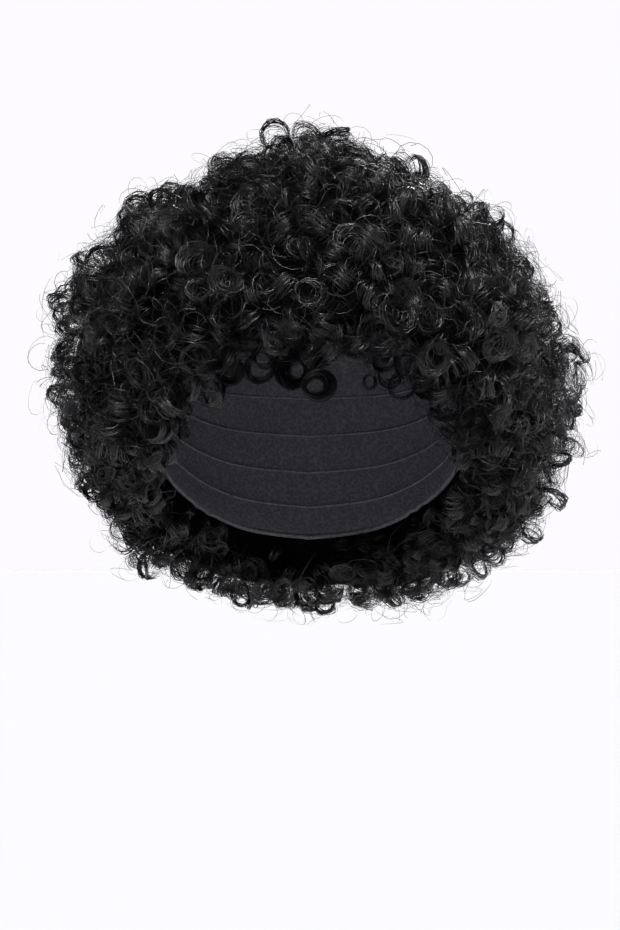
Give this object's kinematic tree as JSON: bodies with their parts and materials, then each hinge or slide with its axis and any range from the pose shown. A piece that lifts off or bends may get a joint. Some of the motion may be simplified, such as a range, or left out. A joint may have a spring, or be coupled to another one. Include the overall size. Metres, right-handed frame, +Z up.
{
  "type": "curly wig",
  "caption": "Short round wig of tight black ringlets on a fitted stretch cap, open at the face and neck, with loose ringlets hanging over the forehead.",
  "frame": {"origin": "inside top of the cap, where it bears on the crown of the head", "axes": "+Z up, -Y the way the wearer faces, +X the wearer's left"},
  "size_m": [0.2422, 0.265, 0.2254],
  "materials": {
    "cap_net": "matt black stretch net",
    "hair": "glossy black synthetic fibre set in ringlets"
  },
  "bodies": {
    "root": {"cap": "cap_net", "crown_curls": "hair", "fringe_curls": "hair", "side_curls_left": "hair", "side_curls_right": "hair", "back_curls": "hair", "nape_curls": "hair", "forehead_ringlet_1": "hair", "forehead_ringlet_2": "hair", "forehead_ringlet_3": "hair", "forehead_ringlet_4": "hair", "forehead_ringlet_5": "hair"}
  },
  "joints": []
}
